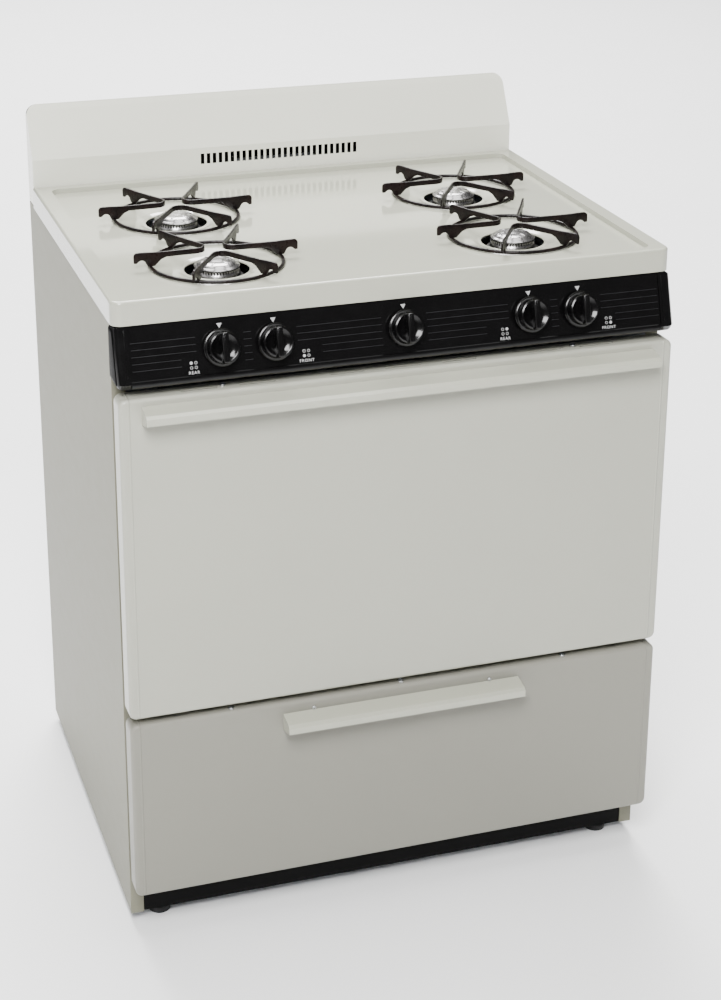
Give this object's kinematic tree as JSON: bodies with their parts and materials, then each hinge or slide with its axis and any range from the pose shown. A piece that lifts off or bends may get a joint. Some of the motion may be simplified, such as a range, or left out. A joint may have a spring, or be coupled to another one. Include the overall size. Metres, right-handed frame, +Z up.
{
  "type": "freestanding gas range",
  "caption": "Freestanding gas range with an open-burner cooktop, drop-down oven door, slide-out broiler drawer, low backguard and knobs on a slanted front panel.",
  "frame": {"origin": "centre of the overall box at floor level", "axes": "+X to the right seen from the front, +Y to the back, +Z up; the oven door faces -Y"},
  "size_m": [0.76, 0.652, 1.029],
  "materials": {
    "bisque_enamel": "glossy bisque porcelain enamel",
    "black_paint": "semi-gloss black paint",
    "black_plastic": "moulded, glossy",
    "grate_enamel": "satin dark enamel over steel",
    "burner_metal": "cast and polished",
    "grey_enamel": "speckled oven enamel",
    "mineral_wool": "fibrous",
    "foot_rubber": "moulded",
    "rack_wire": "bright plated wire",
    "valve_brass": "machined",
    "pipe_aluminium": "mill finish",
    "plated_steel": "zinc plated",
    "galvanised_steel": "galvanised sheet"
  },
  "bodies": {
    "body": {"backguard": "bisque_enamel", "base_frame": "galvanised_steel", "burner_box": "galvanised_steel", "burner_tubes": "pipe_aluminium", "control_panel": "black_plastic", "drawer_tracks": "galvanised_steel", "flame_spreader": "grey_enamel", "flue_duct": "galvanised_steel", "front_frame": "galvanised_steel", "front_left_burner_head": "burner_metal", "front_right_burner_head": "burner_metal", "gas_valves": "valve_brass", "hinge_arms": "plated_steel", "kick_plate": "black_paint", "left_side_panel": "bisque_enamel", "levelling_feet": "foot_rubber", "manifold_pipe": "pipe_aluminium", "oven_bottom": "grey_enamel", "oven_burner": "pipe_aluminium", "oven_insulation": "mineral_wool", "oven_liner": "grey_enamel", "pilot_burners": "pipe_aluminium", "pressure_regulator": "pipe_aluminium", "rack_guides": "grey_enamel", "rear_left_burner_head": "burner_metal", "rear_panel": "galvanised_steel", "rear_right_burner_head": "burner_metal", "right_side_panel": "bisque_enamel", "sensing_bulb": "pipe_aluminium"},
    "oven_door": {"door_skin": "bisque_enamel", "door_liner": "grey_enamel", "door_insulation": "mineral_wool", "door_gasket": "mineral_wool", "door_handle": "bisque_enamel", "door_screws": "plated_steel", "door_hinges": "plated_steel"},
    "drawer": {"drawer_front": "bisque_enamel", "drawer_liner": "galvanised_steel", "drawer_tray": "galvanised_steel", "drawer_handle": "bisque_enamel", "drawer_screws": "plated_steel"},
    "broiler": {"broiler_pan": "grey_enamel", "broiler_grid": "grey_enamel"},
    "cooktop": {"cooktop": "bisque_enamel"},
    "front_left_grate": {"front_left_grate": "grate_enamel"},
    "front_right_grate": {"front_right_grate": "grate_enamel"},
    "rear_left_grate": {"rear_left_grate": "grate_enamel"},
    "rear_right_grate": {"rear_right_grate": "grate_enamel"},
    "lower_rack": {"lower_rack": "rack_wire"},
    "upper_rack": {"upper_rack": "rack_wire"},
    "rear_left_stem": {"rear_left_stem": "plated_steel"},
    "rear_left_knob": {"rear_left_knob": "black_plastic"},
    "front_left_stem": {"front_left_stem": "plated_steel"},
    "front_left_knob": {"front_left_knob": "black_plastic"},
    "oven_stem": {"oven_stem": "plated_steel"},
    "oven_knob": {"oven_knob": "black_plastic"},
    "rear_right_stem": {"rear_right_stem": "plated_steel"},
    "rear_right_knob": {"rear_right_knob": "black_plastic"},
    "front_right_stem": {"front_right_stem": "plated_steel"},
    "front_right_knob": {"front_right_knob": "black_plastic"}
  },
  "joints": [
    {"name": "door_hinge", "type": "hinge", "parent": "body", "child": "oven_door", "pos_m": [0, -0.279, 0.363], "axis": [1, 0, 0], "range_deg": [0, 90], "stiffness_Nm_per_rad": 4, "springref_deg": -14.32},
    {"name": "drawer_slide", "type": "slide", "parent": "body", "child": "drawer", "axis": [0, -1, 0], "range_m": [0, 0.33]},
    {"name": "broiler_lift", "type": "slide", "parent": "drawer", "child": "broiler", "axis": [0, 0, 1], "range_m": [0, 0.1]},
    {"name": "cooktop_lift", "type": "hinge", "parent": "body", "child": "cooktop", "pos_m": [0, 0.283, 0.914], "axis": [-1, 0, 0], "range_deg": [0, 40]},
    {"name": "front_left_grate_lift", "type": "slide", "parent": "cooktop", "child": "front_left_grate", "axis": [0, 0, 1], "range_m": [0, 0.12]},
    {"name": "front_right_grate_lift", "type": "slide", "parent": "cooktop", "child": "front_right_grate", "axis": [0, 0, 1], "range_m": [0, 0.12]},
    {"name": "rear_left_grate_lift", "type": "slide", "parent": "cooktop", "child": "rear_left_grate", "axis": [0, 0, 1], "range_m": [0, 0.12]},
    {"name": "rear_right_grate_lift", "type": "slide", "parent": "cooktop", "child": "rear_right_grate", "axis": [0, 0, 1], "range_m": [0, 0.12]},
    {"name": "lower_rack_slide", "type": "slide", "parent": "body", "child": "lower_rack", "axis": [0, -1, 0], "range_m": [0, 0.02]},
    {"name": "upper_rack_slide", "type": "slide", "parent": "body", "child": "upper_rack", "axis": [0, -1, 0], "range_m": [0, 0.02]},
    {"name": "rear_left_push", "type": "slide", "parent": "body", "child": "rear_left_stem", "axis": [0, 0.9553, -0.2957], "range_m": [0, 0.004], "stiffness_N_per_m": 800, "springref_m": -0.003},
    {"name": "rear_left_turn", "type": "hinge", "parent": "rear_left_stem", "child": "rear_left_knob", "pos_m": [-0.244, -0.2873, 0.8455], "axis": [0, -0.9553, 0.2957], "range_deg": [0, 210]},
    {"name": "front_left_push", "type": "slide", "parent": "body", "child": "front_left_stem", "axis": [0, 0.9553, -0.2957], "range_m": [0, 0.004], "stiffness_N_per_m": 800, "springref_m": -0.003},
    {"name": "front_left_turn", "type": "hinge", "parent": "front_left_stem", "child": "front_left_knob", "pos_m": [-0.174, -0.2873, 0.8455], "axis": [0, -0.9553, 0.2957], "range_deg": [0, 210]},
    {"name": "oven_push", "type": "slide", "parent": "body", "child": "oven_stem", "axis": [0, 0.9553, -0.2957], "range_m": [0, 0.004], "stiffness_N_per_m": 800, "springref_m": -0.003},
    {"name": "oven_turn", "type": "hinge", "parent": "oven_stem", "child": "oven_knob", "pos_m": [0, -0.2873, 0.8455], "axis": [0, -0.9553, 0.2957], "range_deg": [0, 290]},
    {"name": "rear_right_push", "type": "slide", "parent": "body", "child": "rear_right_stem", "axis": [0, 0.9553, -0.2957], "range_m": [0, 0.004], "stiffness_N_per_m": 800, "springref_m": -0.003},
    {"name": "rear_right_turn", "type": "hinge", "parent": "rear_right_stem", "child": "rear_right_knob", "pos_m": [0.174, -0.2873, 0.8455], "axis": [0, -0.9553, 0.2957], "range_deg": [0, 210]},
    {"name": "front_right_push", "type": "slide", "parent": "body", "child": "front_right_stem", "axis": [0, 0.9553, -0.2957], "range_m": [0, 0.004], "stiffness_N_per_m": 800, "springref_m": -0.003},
    {"name": "front_right_turn", "type": "hinge", "parent": "front_right_stem", "child": "front_right_knob", "pos_m": [0.244, -0.2873, 0.8455], "axis": [0, -0.9553, 0.2957], "range_deg": [0, 210]}
  ]
}
